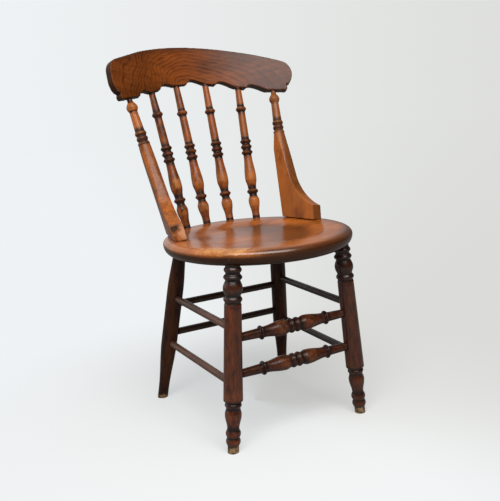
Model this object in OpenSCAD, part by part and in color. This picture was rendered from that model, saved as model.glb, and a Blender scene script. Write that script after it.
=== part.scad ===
// Round-seat spindle-back kitchen chair.
// Every turned piece goes straight into its hole: the end of the stick is its own tenon.
// Left and right are as seen from the front: +X is right, +Y the back, +Z up.
// The floor is z = 0, and the chair stands with the middle of its whole box over the origin.

/* [Seat] */
// Height of the seat's rim above the floor
seat_h = 450; // [375:1:560]
// Diameter of the seat
seat_d = 444; // [370:1:540]
// Thickness of the seat board
seat_t = 36; // [34:1:46]
// Height of the seat's rounded upper edge
seat_edge_h = 13; // [6:0.5:16]
// How far the rounded upper edge reaches in over the seat
seat_edge_w = 17; // [8:0.5:20]
// How far the rounded lower edge reaches in under the seat
seat_under_w = 20; // [8:0.5:24]
// Width of the rim left clear between the dished part and the back posts
rim_clear = 1.5; // [0.5:0.5:10]
// Depth of the dished part
dish_depth = 9; // [2:0.5:10]
// Width of the slope from the rim down into the dish
dish_slope_w = 60; // [30:1:90]

/* [Front legs] */
// Angle of the front legs' sockets, sideways from straight ahead
front_leg_angle = 45; // [40:1:52]
// Distance from the seat's edge to the middle of a front leg's socket
front_leg_inset = 23.5; // [21:0.5:30]
// How far a front foot stands out sideways from its socket
front_splay_side = 32.5; // [10:0.5:60]
// How far a front foot stands forward of its socket
front_splay_out = 5; // [0:0.5:40]
// Radius of the front leg's plain shaft at the top
front_shaft_top_r = 21.5; // [20:0.1:24]
// Radius of the front leg's plain shaft at the bottom
front_shaft_bottom_r = 18.8; // [18:0.1:20]
// Radius of the front leg's end in the seat
front_leg_end_r = 16; // [13:0.1:16.5]

/* [Rear legs] */
// Angle of the rear legs' sockets, sideways from straight back
rear_leg_angle = 43; // [38:1:48]
// Distance from the seat's edge to the middle of a rear leg's socket
rear_leg_inset = 21.5; // [20:0.5:30]
// How far a rear foot stands out sideways from its socket
rear_splay_side = 49; // [20:0.5:70]
// How far a rear foot stands back from its socket
rear_splay_out = 91.5; // [40:0.5:120]
// Radius of the rear leg where it is thickest
rear_leg_r = 20.2; // [18:0.1:23]
// Radius of the rear leg's foot
rear_foot_r = 13.2; // [11:0.1:15]
// Radius of the rear leg's end in the seat
rear_leg_end_r = 15.2; // [12:0.1:16]
// Depth of the legs' sockets in the seat
leg_socket_depth = 24; // [15:1:25]

/* [Stretchers] */
// Height of the upper front stretcher
front_upper_h = 254.5; // [230:0.5:270]
// Height of the lower front stretcher
front_lower_h = 173; // [160:0.5:190]
// How much higher than it the upper side stretchers meet the front legs
upper_stagger = 21.5; // [19:0.5:40]
// How much lower than the lower one the lower side stretchers meet the front legs
lower_stagger = 18.5; // [18.5:0.5:40]
// How much higher the side stretchers meet the rear legs than the front ones
side_rise = 3; // [0:0.5:4]
// How far below the upper side stretchers the upper rear stretcher lies
rear_upper_drop = 18; // [18:0.5:40]
// How far above the lower side stretchers the lower rear stretcher lies
rear_lower_lift = 25; // [18:0.5:40]
// Radius of the plain side stretchers
side_stretcher_r = 8.3; // [6:0.1:8.5]
// Radius of the plain rear stretchers
rear_stretcher_r = 8.7; // [6:0.1:8.8]
// Radius of the front stretchers' ends
front_stretcher_r = 9.6; // [7:0.1:9.8]
// Radius of the front stretchers' long swells
front_swell_r = 17.3; // [13:0.1:20]
// Distance from the middle of a front stretcher to its single rings
front_ring_at = 84.5; // [76:0.5:100]
// How far a stretcher's end stops short of the leg's middle line
stretcher_gap = 3; // [2.5:0.5:6]

/* [Back spindles] */
// Distance from the seat's edge to the middle of a spindle's foot
spindle_inset = 13; // [12:0.5:24]
// Angle from the middle of the back to an inner spindle's foot
inner_spindle_angle = 9.2; // [7:0.1:12]
// Angle from the middle of the back to an outer spindle's foot
outer_spindle_angle = 28.7; // [24:0.1:29]
// Radius of a spindle's foot
spindle_foot_r = 9.8; // [7:0.1:10]
// Radius of a spindle's top end
spindle_top_r = 8.2; // [5:0.1:8.4]
// Radius of a spindle's lower swell
spindle_swell_r = 14.4; // [12:0.1:18]
// Radius of a spindle's rings
spindle_ring_r = 15; // [12:0.1:18]
// Depth of the spindles' sockets in the seat
spindle_socket_depth = 20; // [10:1:24]
// Depth of the sockets in the underside of the crest rail
crest_socket_depth = 18; // [10:1:22]

/* [Crest rail] */
// Lean of the back from upright
back_lean = 17.5; // [8:0.1:22]
// Distance from the seat's edge to where the lean starts, under the middle of the rail
back_inset = 13; // [12:0.5:24]
// Height of the rail's lower edge over the seat, up the lean, at its middle
crest_rise = 371; // [310:0.5:450]
// Thickness of the crest rail
crest_t = 20; // [19.5:0.5:30]
// Height of the crest rail below its crown
crest_h = 99.5; // [85:0.5:120]
// Half of the crest rail's width at its middle plane, seen from the front
crest_half_w = 251.5; // [248:0.5:262]
// Bend radius of the crest rail's middle plane
crest_bend_r = 275; // [250:1:330]
// Angle of the bend on each side, past which the ends run straight
crest_bend_angle = 30.5; // [28:0.5:34]
// How far the lower edge would fall by the bottom of its wave
low_drop = 75; // [55:1:85]
// Distance from the middle to the bottom of that wave
low_span = 300; // [280:1:330]
// Radius of the crown on the upper edge
crown_r = 360; // [330:1:400]
// Angle of the crown on each side, past which the upper edge runs straight
crown_angle = 24; // [20:0.5:26]
// How far the crown lies left of the middle, as shaped by eye
crown_shift = 12; // [0:1:14]
// How much more the upper edge falls away at the right end than at the left
right_fall = 11; // [0:0.5:12]
// Angle of the ends' cut, turned outwards from straight back
end_cut_angle = 20; // [0:1:30]
// Radius of the upper corners
upper_corner_r = 40; // [15:1:42]
// Radius of the lower corners
lower_corner_r = 40; // [34:1:42]
// Radius of the small lobe left at the foot of each end
lobe_r = 9; // [6:0.5:9]
// Distance from the end of the rail to the middle of that lobe
lobe_inset = 28; // [24:0.5:32]
// Height of each scallop in the lower edge
scallop_h = 9.5; // [4:0.5:12]
// Distance from the middle to an inner spindle's socket
inner_socket_x = 42; // [38:0.5:46]
// Distance from the middle to an outer spindle's socket
outer_socket_x = 123.5; // [118:0.5:128]
// Distance from the middle to a back post's socket
post_socket_x = 202; // [198:0.5:206]

/* [Back posts] */
// Thickness of a post's board
post_t = 29; // [24:0.5:30]
// Angle of the board's front end, back from straight sideways
post_front_angle = 6.5; // [2:0.5:10]
// Angle of the board's back end, back from straight sideways
post_back_angle = 39; // [36:0.1:44]
// Distance from the seat's edge to the middle of the board's front end
post_front_inset = 35.5; // [24:0.5:38]
// Distance from the seat's edge to the middle of the board's back end
post_back_inset = 14.5; // [14:0.5:24]
// Height of the steep toe at the front of the board
post_toe_h = 37; // [25:1:50]
// How far the toe's top leans back
post_toe_lean = 8; // [2:0.5:14]
// Radius of the hollow curve up the front of the board
post_curve_r = 140; // [110:1:145]
// Slope of the hollow curve where it leaves the toe
post_curve_slope = 14; // [0:1:25]
// Length of the turned part at the top of a post
post_turned_l = 115; // [114:1:130]
// Lean of the turned part in the plane of the board
post_lean = 18; // [15:0.5:20]
// Radius of the post's collar, where the board ends
post_collar_r = 14.4; // [13:0.1:15]
// Radius of the post's end in the crest rail
post_end_r = 6.6; // [5.5:0.1:7.5]
// Radius of the two pegs under the board
post_peg_r = 6; // [4:0.5:8]
// Length of the two pegs under the board
post_peg_l = 20; // [10:1:24]
// Distance from the ends of the board to its pegs
post_peg_inset = 26; // [18:1:35]

/* [Fit] */
// Clearance round each end in its socket
fit_gap = 0.1; // [0.05:0.01:0.2]
// Clearance at the bottom of each socket
socket_end_gap = 1; // [0.5:0.1:2]

/* [Hidden] */
$fn = 96;

right = 1;
left = -1;
// Points along a bead or an S-curve of a turned outline
steps = 10;
// Extra length that lets a cutter run out through a surface
run_out = 60;

seat_r = seat_d / 2;
under_h = seat_h - seat_t;

// ---- Places ----

function polar(r, angle, z) = [r * cos(angle), r * sin(angle), z];
function unit(v) = v / norm(v);
function sided(p, side) = [side * p.x, p.y, p.z];

// Middle lines of the legs, on the right-hand side
front_top = polar(seat_r - front_leg_inset, front_leg_angle - 90, under_h);
front_foot = [front_top.x + front_splay_side, front_top.y - front_splay_out, 0];
rear_top = polar(seat_r - rear_leg_inset, 90 - rear_leg_angle, under_h);
rear_foot = [rear_top.x + rear_splay_side, rear_top.y + rear_splay_out, 0];

function on_line(foot, top, h) = foot + (top - foot) * h / top.z;
function on_front_leg(h, side) = sided(on_line(front_foot, front_top, h), side);
function on_rear_leg(h, side) = sided(on_line(rear_foot, rear_top, h), side);

side_upper_h = front_upper_h + upper_stagger;
side_lower_h = front_lower_h - lower_stagger;
rear_upper_h = side_upper_h + side_rise - rear_upper_drop;
rear_lower_h = side_lower_h + side_rise + rear_lower_lift;

// Both ends of each stretcher's middle line, on the legs' own middle lines
function front_ends(h) = [on_front_leg(h, left), on_front_leg(h, right)];
function rear_ends(h) = [on_rear_leg(h, left), on_rear_leg(h, right)];
function side_ends(h, side) = [on_front_leg(h, side), on_rear_leg(h + side_rise, side)];

// The crest rail is drawn upright and then leaned back about the seat's rim. Before the
// lean, bend_y is how far its middle plane lies behind the hinge, x from the middle.
bend_x = crest_bend_r * sin(crest_bend_angle);
bend_end_y = crest_bend_r * cos(crest_bend_angle) - crest_bend_r;
function bend_y(x) = abs(x) < bend_x ? sqrt(crest_bend_r ^ 2 - x ^ 2) - crest_bend_r
    : bend_end_y - (abs(x) - bend_x) * tan(crest_bend_angle);
function low_edge(x) = crest_rise - low_drop / 2 * (1 - cos(180 * x / low_span));
function leaned(p) = [p.x, seat_r - back_inset + p.y * cos(back_lean) + p.z * sin(back_lean),
    seat_h - p.y * sin(back_lean) + p.z * cos(back_lean)];
function socket(x) = leaned([x, bend_y(x), low_edge(x)]);

// Feet and tops of the spindles, by their place across the back
spindle_angles = [-outer_spindle_angle, -inner_spindle_angle,
    inner_spindle_angle, outer_spindle_angle];
spindle_sockets = [-outer_socket_x, -inner_socket_x, inner_socket_x, outer_socket_x];
function spindle_foot(i) = polar(seat_r - spindle_inset, 90 - spindle_angles[i], seat_h);
function spindle_top(i) = socket(spindle_sockets[i]);

// A post's board lies in the plane through its base line and its socket in the rail
post_front = polar(seat_r - post_front_inset, post_front_angle, seat_h);
post_back = polar(seat_r - post_back_inset, post_back_angle, seat_h);
post_joint = socket(post_socket_x);
post_along = unit(post_back - post_front);
post_out = unit(cross(post_along, post_joint - post_front));
post_up = cross(post_out, post_along);
post_base_l = norm(post_back - post_front);
// The dish keeps clear of the posts' inner faces, which cross the seat at this radius
rim_r = cross([post_front.x, post_front.y], [post_along.x, post_along.y])
    - post_t / 2 / norm([post_out.x, post_out.y]) - rim_clear;
joint_u = (post_joint - post_front) * post_along;
joint_v = (post_joint - post_front) * post_up;
collar_u = joint_u - post_turned_l * sin(post_lean);
collar_v = joint_v - post_turned_l * cos(post_lean);
post_collar = post_front + collar_u * post_along + collar_v * post_up;
post_pegs = [for (u = [post_peg_inset, post_base_l - post_peg_inset])
    post_front + u * post_along];

// The rail's upper edge, left to right, and the middle of the whole box, front to back
crown_z = crest_rise + crest_h;
crown_side = crown_r * sin(crown_angle);
crown_drop = crown_r * (1 - cos(crown_angle));
function end_fall(x, d) = x < 0 ? 0
    : right_fall * ((d - crown_side) / (crest_half_w + crown_shift - crown_side)) ^ 2;
function top_edge(x) = let (d = abs(x + crown_shift)) d < crown_side
    ? crown_z - crown_r + sqrt(crown_r ^ 2 - d ^ 2)
    : crown_z - crown_drop - (d - crown_side) * tan(crown_angle) - end_fall(x, d);
crest_back_y = max([for (x = [-30:0.5:30])
    leaned([x, sqrt((crest_bend_r + crest_t / 2) ^ 2 - x ^ 2) - crest_bend_r, top_edge(x)]).y]);
rear_foot_y = rear_foot.y + rear_foot_r * norm([rear_splay_out, under_h]) / under_h;
middle_y = (max(crest_back_y, rear_foot_y) - seat_r) / 2;

// ---- Tools for making pieces ----

module centred() {
    translate([0, -middle_y, 0]) children();
}

// Lays what stands on the origin along the line from a to b
module between(a, b) {
    d = b - a;
    translate(a) rotate([0, acos(d.z / norm(d)), atan2(d.y, d.x)]) children();
}

module sided(side) {
    mirror([side == left ? 1 : 0, 0, 0]) children();
}

// A turned outline is a list of [radius, place]. A bead bulges between two grooves, a
// swell runs smoothly from one radius to the next.
function bead(z0, z1, r0, r1) = [for (i = [0:steps])
    [r0 + (r1 - r0) * sin(180 * i / steps), z0 + (z1 - z0) * i / steps]];
function swell(z0, z1, r0, r1) = [for (i = [0:steps])
    [r0 + (r1 - r0) * (1 - cos(180 * i / steps)) / 2, z0 + (z1 - z0) * i / steps]];
function raised(points, z) = [for (p = points) [p.x, p.y + z]];
function reversed(points) = [for (i = [len(points) - 1:-1:0]) [points[i].x, -points[i].y]];

module turned(points) {
    last = len(points) - 1;
    rotate_extrude() polygon(concat([[0, points[0].y]], points, [[0, points[last].y]]));
}

// The hole for a round end that reaches depth past a, on the way from b to a
module hole(a, b, r, depth) {
    between(a, b) translate([0, 0, -depth - socket_end_gap])
        cylinder(r = r + fit_gap, h = depth + socket_end_gap + run_out);
}

// The holes in a leg for the stretchers that meet it, each given as its two ends
module stretcher_hole(a, b, r) {
    between(a, b) translate([0, 0, stretcher_gap - socket_end_gap])
        cylinder(r = r + fit_gap, h = run_out);
}

// ---- Seat ----

function seat_profile() = concat(
    [[0, under_h]],
    [for (a = [-90:9:0]) [seat_r - seat_under_w * (1 - cos(a)),
        seat_h - seat_edge_h + (seat_t - seat_edge_h) * sin(a)]],
    [for (a = [9:9:90]) [seat_r - seat_edge_w * (1 - cos(a)),
        seat_h - seat_edge_h * (1 - sin(a))]],
    [for (i = [0:steps]) [rim_r - dish_slope_w * i / steps,
        seat_h - dish_depth * (1 - cos(180 * i / steps)) / 2]],
    [[0, seat_h - dish_depth]]);

module seat() {
    color([0.50, 0.25, 0.11]) centred() difference() {
        rotate_extrude() polygon(seat_profile());
        for (side = [left, right]) {
            hole(sided(front_top, side), sided(front_foot, side), front_leg_end_r,
                leg_socket_depth);
            hole(sided(rear_top, side), sided(rear_foot, side), rear_leg_end_r,
                leg_socket_depth);
            for (peg = post_pegs)
                hole(sided(peg, side), sided(peg, side) + [0, 0, 1], post_peg_r, post_peg_l);
        }
        for (i = [0:3])
            hole(spindle_foot(i), spindle_top(i), spindle_foot_r, spindle_socket_depth);
    }
}

// ---- Legs ----

// The floor cuts a leg's foot off level
module floored() {
    intersection() {
        children();
        translate([-seat_d, -seat_d, 0]) cube([2 * seat_d, 2 * seat_d, seat_h]);
    }
}

// From the floor up: foot, two beads, vase and a bead
function leg_foot_turning() = concat(
    [[12.6, -10], [12.6, 15]],
    bead(17, 34, 13.6, 16.3),
    bead(35, 51.5, 14.2, 16.8),
    swell(54, 86, 13.4, 18.5),
    swell(88, 101, 18.5, 15.9),
    bead(103, 114, 16, 18.7),
    [[16, 115.5]]);

// From the seat down: neck, two beads, ball, a bead and the shoulder of the shaft
function leg_top_turning() = concat(
    bead(3, 15, 16.2, 19.4),
    [[15.8, 17]],
    bead(19, 31, 16.4, 20.5),
    [[16.3, 33]],
    bead(34, 64, 17, 21.4),
    bead(66.5, 79, 17.2, 20.6),
    [[17.6, 81]]);
shaft_start = 118;
shaft_end = 84.5;
// Turns a leg about its own middle, so that its outline starts clear of the floor's cut
seam_turn = 40;

module front_leg(side) {
    l = norm(front_top - front_foot);
    color([0.30, 0.13, 0.07]) centred() sided(side) floored() difference() {
        between(front_foot, front_top) rotate(seam_turn) turned(concat(
            leg_foot_turning(),
            [[front_shaft_bottom_r, shaft_start], [front_shaft_top_r, l - shaft_end]],
            raised(reversed(leg_top_turning()), l),
            [[front_leg_end_r, l - 2], [front_leg_end_r, l + leg_socket_depth]]));
        for (h = [front_upper_h, front_lower_h])
            stretcher_hole(front_ends(h)[1], front_ends(h)[0], front_stretcher_r);
        for (h = [side_upper_h, side_lower_h])
            stretcher_hole(side_ends(h, right)[0], side_ends(h, right)[1], side_stretcher_r);
    }
}

rear_swell_start = 20;
rear_swell_end = 170;
rear_taper_start = 118;
rear_taper_end = 9;

module rear_leg(side) {
    l = norm(rear_top - rear_foot);
    color([0.20, 0.10, 0.06]) centred() sided(side) floored() difference() {
        between(rear_foot, rear_top) rotate(seam_turn) turned(concat(
            [[rear_foot_r, -run_out / 4]],
            swell(rear_swell_start, rear_swell_end, rear_foot_r, rear_leg_r),
            swell(l - rear_taper_start, l - rear_taper_end, rear_leg_r, rear_leg_end_r),
            [[rear_leg_end_r, l + leg_socket_depth]]));
        for (h = [rear_upper_h, rear_lower_h])
            stretcher_hole(rear_ends(h)[1], rear_ends(h)[0], rear_stretcher_r);
        for (h = [side_upper_h, side_lower_h])
            stretcher_hole(side_ends(h, right)[1], side_ends(h, right)[0], side_stretcher_r);
    }
}

// ---- Stretchers ----

module plain_stretcher(ends, r) {
    color([0.27, 0.16, 0.10]) centred() between(ends[0], ends[1])
        translate([0, 0, stretcher_gap])
            cylinder(r = r, h = norm(ends[1] - ends[0]) - 2 * stretcher_gap);
}

// Outwards from the middle: half of a groove, a ring, a swell, a thin ring and the taper,
// which ends just short of the leg
front_entry = front_shaft_bottom_r + 2;
function half_front_stretcher(half) = concat(
    [[13, 0.5]],
    bead(1.3, 14, 13.4, 16.8),
    [[12.6, 15.5]],
    swell(17, 27, 14.5, front_swell_r),
    swell(31, front_ring_at - 6, front_swell_r, 12),
    bead(front_ring_at - 4, front_ring_at + 4, 12, 16),
    [[11, front_ring_at + 5], [front_stretcher_r, half - front_entry],
        [front_stretcher_r, half - stretcher_gap]]);

module front_stretcher(h) {
    ends = front_ends(h);
    half = norm(ends[1] - ends[0]) / 2;
    color([0.33, 0.15, 0.08]) centred() between((ends[0] + ends[1]) / 2, ends[1])
        turned(concat(reversed(half_front_stretcher(half)), half_front_stretcher(half)));
}

// ---- Back ----

// From the seat up: swell, ring, vase, three rings and the long shaft's single ring
function spindle_turning(l) = concat(
    swell(12, 45, spindle_foot_r, spindle_swell_r),
    swell(46, 62, spindle_swell_r, 9.9),
    bead(65, 76, 11, spindle_ring_r),
    [[10.3, 79.5]],
    swell(81, 105, 11, spindle_ring_r),
    swell(110, 165, spindle_ring_r, 10.9),
    [[10.5, 168]],
    bead(171, 181, 11.2, spindle_ring_r),
    [[11, 183.5]],
    bead(186, 196.5, 11.2, spindle_ring_r - 0.2),
    [[10.7, 199]],
    bead(201, 211.5, 11, spindle_ring_r - 0.4),
    [[10.6, 214]],
    [[10.4, 240]],
    [[9.6, 286]],
    bead(289, 301, 10.2, spindle_ring_r - 1),
    [[9.8, 304]],
    [[spindle_top_r, l - 12]]);

module back_spindle(i) {
    l = norm(spindle_top(i) - spindle_foot(i));
    color([0.47, 0.24, 0.11]) centred() between(spindle_foot(i), spindle_top(i))
        turned(concat(
            [[spindle_foot_r, -spindle_socket_depth]],
            spindle_turning(l),
            [[spindle_top_r, l + crest_socket_depth]]));
}

// From the board up: collar, two rings, shaft, ball and the end in the rail
function post_turning(l) = concat(
    [[post_collar_r, -1.5], [post_collar_r, 3], [11.5, 8]],
    bead(9, 19.5, 12, 14.1),
    [[11.3, 21]],
    bead(22, 33, 12, 14.3),
    [[11.6, 35]],
    [[10, l - 33]],
    bead(l - 31, l - 11, 10, 13.9),
    [[post_end_r + 0.6, l - 8]],
    [[post_end_r, l - 3]],
    [[post_end_r, l + crest_socket_depth]]);

// The board is drawn from the side, (along, up). Its collar stands a little proud of it.
post_collar_step = 0.6;
post_board_r = post_collar_r - post_collar_step;
post_collar_place = [collar_u, collar_v];
post_axis = [sin(post_lean), cos(post_lean)];
post_across = [cos(post_lean), -sin(post_lean)];

// The hollow curve up the front of the board, from the toe to the straight below the collar
function post_hollow() = let (
    toe = [post_toe_lean, post_toe_h],
    centre = toe + post_curve_r * [-sin(post_curve_slope), cos(post_curve_slope)],
    reach = post_collar_place - post_board_r * post_across - centre,
    start = post_curve_slope - 90,
    end = atan2(reach.y, reach.x) - acos(post_curve_r / norm(reach)))
    [for (i = [0:2 * steps]) let (a = start + (end - start) * i / (2 * steps))
        centre + post_curve_r * [cos(a), sin(a)]];
function post_outline() = concat(
    [[post_base_l, 0], [0, 0]],
    post_hollow(),
    [for (k = [-1, 1]) post_collar_place + k * post_board_r * post_across]);

// The front corners are shaved off in a bevel that is full at the collar, where the board
// is round, and runs out this far below it. The shaving follows the board's front edge.
post_bevel_l = 200;
function post_shaving() = let (full = norm([post_board_r, post_t / 2]) - post_board_r)
    [for (p = post_hollow()) let (q = p - post_collar_place, down = -q * post_axis)
        [norm([q * post_across, post_t / 2]) - full * (1 - down / post_bevel_l), -down]];

// Stands a drawing of the board, (along, up) with its outer face up, in its place
module in_post_plane() {
    m = [for (k = [0:2]) [post_along[k], post_up[k], post_out[k]]];
    multmatrix([for (k = [0:2]) concat(m[k], post_front[k])]) children();
}

module back_post(side) {
    color([0.45, 0.21, 0.10]) centred() sided(side) {
        intersection() {
            in_post_plane() translate([0, 0, -post_t / 2])
                linear_extrude(post_t) polygon(post_outline());
            between(post_collar, post_joint) turned(concat(
                [[seat_d, -seat_d]], post_shaving(), [[post_board_r, 0]]));
            translate([0, 0, seat_h]) cylinder(r = seat_d, h = seat_d);
        }
        between(post_collar, post_joint) turned(post_turning(post_turned_l));
        for (peg = post_pegs)
            translate(peg - [0, 0, post_peg_l])
                cylinder(r = post_peg_r, h = post_peg_l + post_peg_r);
    }
}

// Front view of the crest rail, which runs out past its ends: the upper edge from left to
// right, then back along the lower edge through the scallops
function arc(centre, r, a0, a1) = [for (i = [0:steps]) let (a = a0 + (a1 - a0) * i / steps)
    centre + r * [cos(a), sin(a)]];
// Each scallop starts steeply a little right of one socket and runs out just left of the
// next one. They were sawn by eye, so that no two are quite alike.
scallops = [
    [outer_socket_x + 16, post_socket_x - 17],
    [inner_socket_x + 26, outer_socket_x - 10],
    [-inner_socket_x + 31, inner_socket_x - 6],
    [-outer_socket_x + 28, -inner_socket_x - 10],
    [-post_socket_x + 34, -outer_socket_x - 7]];
scallop_bias = 0.6;
function scallop(ends) = [for (i = [steps:-1:0])
    let (t = i / steps, x = ends[0] + (ends[1] - ends[0]) * t ^ (1 / scallop_bias))
    [x, low_edge(x) + scallop_h * sin(180 * t)]];
rail_out = crest_half_w + crest_t;
top_step = rail_out / 40;
function crest_outline() = concat(
    [for (x = [-rail_out:top_step:rail_out]) [x, top_edge(x)]],
    [[rail_out, low_edge(rail_out)]],
    [for (ends = scallops) each scallop(ends)],
    [[-rail_out, low_edge(rail_out)]]);

// Outline of a rounded end, from the end line inwards: upper corner, lower corner, a notch
// and the lobe. What lies further in is left whole.
// How high the lower corner stands over the rail's lower edge, and how far round it goes
notch_rise = 1;
notch_angle = 48;
function end_outline(side) = let (
    x = crest_half_w - upper_corner_r,
    slope = (top_edge(side * (x - 1)) - top_edge(side * (x + 1))) / 2,
    upper_z = top_edge(side * x) - upper_corner_r * norm([1, slope]),
    lower_z = min(upper_z, low_edge(post_socket_x) + lower_corner_r + notch_rise),
    lobe_z = low_edge(crest_half_w - lobe_inset) + lobe_r,
    start = [-upper_corner_r + upper_corner_r * sin(atan(slope)), crown_z])
    concat(
        [[-2 * rail_out, crown_z], start],
        arc([-upper_corner_r, upper_z], upper_corner_r, 90 - atan(slope), 0),
        arc([-lower_corner_r, lower_z], lower_corner_r, 0, -notch_angle),
        arc([-lobe_inset, lobe_z], lobe_r, 60, -90),
        [[-lobe_inset, 0], [-2 * rail_out, 0]]);
// Plan of the bent board the rail is sawn from
module crest_plan() {
    translate([0, -crest_bend_r]) {
        intersection() {
            difference() {
                circle(crest_bend_r + crest_t / 2);
                circle(crest_bend_r - crest_t / 2);
            }
            polygon([[0, 0], 2 * crest_bend_r * [-sin(crest_bend_angle), cos(crest_bend_angle)],
                2 * crest_bend_r * [sin(crest_bend_angle), cos(crest_bend_angle)]]);
        }
        for (side = [left, right])
            rotate(-side * crest_bend_angle)
                translate([side == right ? 0 : -rail_out, crest_bend_r - crest_t / 2])
                    square([rail_out, crest_t]);
    }
}

// Stands an end's outline at the end of the rail, turned square to its cut
module end_block(side) {
    sided(side) translate([crest_half_w, bend_y(crest_half_w), 0])
        rotate([90, 0, -end_cut_angle]) linear_extrude(2 * rail_out, center = true)
            polygon(end_outline(side));
}

module crest_rail() {
    color([0.42, 0.20, 0.10]) centred() difference() {
        translate([0, seat_r - back_inset, seat_h]) rotate([-back_lean, 0, 0]) intersection() {
            linear_extrude(crown_z + run_out) crest_plan();
            translate([0, crest_half_w, 0]) rotate([90, 0, 0])
                linear_extrude(3 * crest_half_w) polygon(crest_outline());
            end_block(left);
            end_block(right);
        }
        for (i = [0:3])
            hole(spindle_top(i), spindle_foot(i), spindle_top_r, crest_socket_depth);
        for (side = [left, right])
            hole(sided(post_joint, side), sided(post_collar, side), post_end_r,
                crest_socket_depth);
    }
}

seat();
front_leg(left);  // front_leg_left
front_leg(right);  // front_leg_right
rear_leg(left);  // rear_leg_left
rear_leg(right);  // rear_leg_right
front_stretcher(front_upper_h);  // front_stretcher_upper
front_stretcher(front_lower_h);  // front_stretcher_lower
plain_stretcher(side_ends(side_upper_h, left), side_stretcher_r);  // left_stretcher_upper
plain_stretcher(side_ends(side_lower_h, left), side_stretcher_r);  // left_stretcher_lower
plain_stretcher(side_ends(side_upper_h, right), side_stretcher_r);  // right_stretcher_upper
plain_stretcher(side_ends(side_lower_h, right), side_stretcher_r);  // right_stretcher_lower
plain_stretcher(rear_ends(rear_upper_h), rear_stretcher_r);  // rear_stretcher_upper
plain_stretcher(rear_ends(rear_lower_h), rear_stretcher_r);  // rear_stretcher_lower
back_spindle(0);  // back_spindle_1
back_spindle(1);  // back_spindle_2
back_spindle(2);  // back_spindle_3
back_spindle(3);  // back_spindle_4
back_post(left);  // back_post_left
back_post(right);  // back_post_right
crest_rail();
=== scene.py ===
import math

import bmesh
import bpy
import numpy as np
from mathutils import Matrix, Vector


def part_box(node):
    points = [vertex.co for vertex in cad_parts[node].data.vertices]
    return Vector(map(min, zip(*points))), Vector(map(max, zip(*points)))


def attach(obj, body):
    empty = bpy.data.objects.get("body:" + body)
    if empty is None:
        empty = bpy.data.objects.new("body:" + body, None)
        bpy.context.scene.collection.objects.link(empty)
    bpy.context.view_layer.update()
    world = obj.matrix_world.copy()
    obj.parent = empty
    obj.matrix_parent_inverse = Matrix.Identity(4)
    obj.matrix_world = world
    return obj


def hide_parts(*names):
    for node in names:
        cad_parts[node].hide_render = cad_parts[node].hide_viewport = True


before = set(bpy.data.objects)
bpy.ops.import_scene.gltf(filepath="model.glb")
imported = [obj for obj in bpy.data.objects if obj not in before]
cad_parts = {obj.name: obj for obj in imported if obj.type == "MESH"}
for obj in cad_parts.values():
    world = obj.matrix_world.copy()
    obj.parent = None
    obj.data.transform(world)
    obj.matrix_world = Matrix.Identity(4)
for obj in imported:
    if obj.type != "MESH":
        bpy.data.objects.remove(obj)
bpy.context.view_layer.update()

# ---- Seat ----
# A round of elm 444 mm across and 36 mm thick, turned with a heavy bull-nosed edge and a
# shallow dish. It is stained, then waxed to a deep shine, and the stain has gone from the
# front left of the rim, where hands and legs have rubbed it for years.

seat_radius = 0.222
seat_top = 0.450
seat_thickness = 0.036
seat_middle = (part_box("seat")[0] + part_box("seat")[1]) / 2
dish_radius = 0.16925
dish_depth = 0.009
dish_slope = 0.060
# The round edge: how far in, and how far down, its upper and its lower curve reach
upper_in, upper_down = 0.017, 0.013
lower_in, lower_down = 0.020, 0.023
# Where the spindles stand: how far in from the rim, and how far round from the back
spindle_inset = 0.013
spindle_turns = (28.7, 9.2, -9.2, -28.7)
spindle_foot = 0.0105


def add_node(tree, kind, values=None, **settings):
    """A node with its settings made and its inputs linked or set, by name or number."""
    made = tree.nodes.new(kind)
    for name, value in settings.items():
        setattr(made, name, value)
    for key, value in (values or {}).items():
        if isinstance(value, bpy.types.NodeSocket):
            tree.links.new(value, made.inputs[key])
        else:
            made.inputs[key].default_value = value
    return made


def calc(tree, operation, a, b=0.0, c=0.0):
    values = {0: a, 1: b, 2: c}
    return add_node(tree, "ShaderNodeMath", values, operation=operation).outputs[0]


def on_vectors(tree, operation, a, b=(0, 0, 0)):
    made = add_node(tree, "ShaderNodeVectorMath", {0: a, 1: b}, operation=operation)
    return made.outputs["Value" if operation in ("LENGTH", "DISTANCE") else "Vector"]


def split(tree, vector):
    return add_node(tree, "ShaderNodeSeparateXYZ", {0: vector}).outputs


def attribute(tree, name, kind="Fac"):
    return add_node(tree, "ShaderNodeAttribute", attribute_name=name).outputs[kind]


def object_place(tree):
    return add_node(tree, "ShaderNodeTexCoord").outputs["Object"]


def remap(tree, value, low, high, to_low=0.0, to_high=1.0):
    values = {0: value, 1: low, 2: high, 3: to_low, 4: to_high}
    made = add_node(tree, "ShaderNodeMapRange", values, interpolation_type="SMOOTHSTEP")
    return made.outputs[0]


def tint(tree, amount, under, over, blend="MIX"):
    values = {0: amount, 6: under, 7: over}
    made = add_node(tree, "ShaderNodeMix", values, data_type="RGBA", blend_type=blend)
    return made.outputs[2]


def cloud(tree, where, stretch, detail=3.0, roughness=0.55):
    """Noise over a place in metres, with so many lumps a metre each way."""
    values = {"Vector": on_vectors(tree, "MULTIPLY", where, stretch), "Scale": 1.0,
        "Detail": detail, "Roughness": roughness}
    return add_node(tree, "ShaderNodeTexNoise", values).outputs["Fac"]


def start_group(name, takes, gives, kind_of_tree="ShaderNodeTree"):
    """An empty node group. An input is given as (name, kind, value), an output as two."""
    group = bpy.data.node_groups.new(name, kind_of_tree)
    for label, kind, value in takes:
        made = group.interface.new_socket(label, in_out="INPUT", socket_type="NodeSocket" + kind)
        if value is not None:
            made.default_value = value
    for label, kind in gives:
        group.interface.new_socket(label, in_out="OUTPUT", socket_type="NodeSocket" + kind)
    enter = group.nodes.new("NodeGroupInput").outputs
    leave = group.nodes.new("NodeGroupOutput").inputs
    return group, enter, leave


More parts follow.
